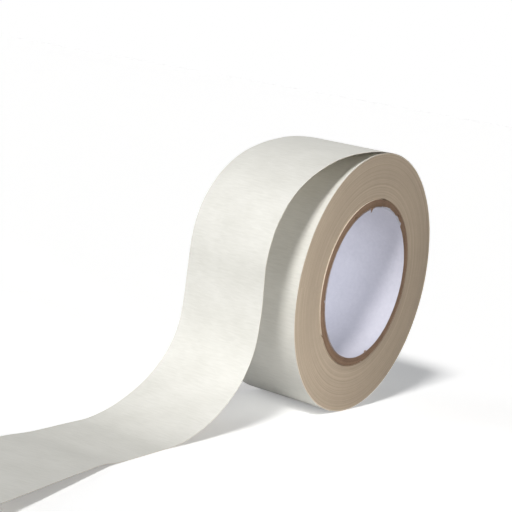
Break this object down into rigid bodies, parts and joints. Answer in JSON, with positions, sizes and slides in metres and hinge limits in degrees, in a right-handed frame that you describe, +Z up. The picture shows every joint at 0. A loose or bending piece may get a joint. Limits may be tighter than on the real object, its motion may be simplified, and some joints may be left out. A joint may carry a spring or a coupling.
{
  "type": "roll of masking tape",
  "caption": "Roll of crepe paper masking tape wound on a cardboard core, standing on its rim with its free end drawn over the top and down to lie on the floor.",
  "frame": {"origin": "on the floor under the middle of the roll, at the middle of the facet that the roll stands on", "axes": "+Y along the roll's axis, away from the face that the picture shows; +Z up; the drawn-off tape leaves towards -X"},
  "size_m": [0.3584, 0.0715, 0.1313],
  "materials": {
    "lining_paper": "matte white paper",
    "kraft_board": "raw brown board",
    "cover_paper": "matte cream paper",
    "wound_tape": "matte, finely lined by the edges of the turns",
    "tape_backing": "matte creped paper"
  },
  "bodies": {
    "tail": {"tail_fall": "tape_backing"},
    "roll": {"core_lining": "lining_paper", "core_ply_1": "kraft_board", "core_ply_2": "kraft_board", "core_ply_3": "kraft_board", "core_ply_4": "kraft_board", "core_ply_5": "kraft_board", "core_cover": "cover_paper", "wound_pack": "wound_tape", "outer_turn": "tape_backing"},
    "tail_end": {"tail_run": "tape_backing"}
  },
  "joints": [
    {"name": "roll_turn", "type": "hinge", "parent": "tail", "child": "roll", "pos_m": [0, 0, 0.06538], "axis": [0, 1, 0], "continuous": true},
    {"name": "tail_lift", "type": "hinge", "parent": "tail", "child": "tail_end", "pos_m": [-0.1505, 0, 0.00008], "axis": [-0.0872, 0.9962, 0], "range_deg": [0, 70]}
  ]
}
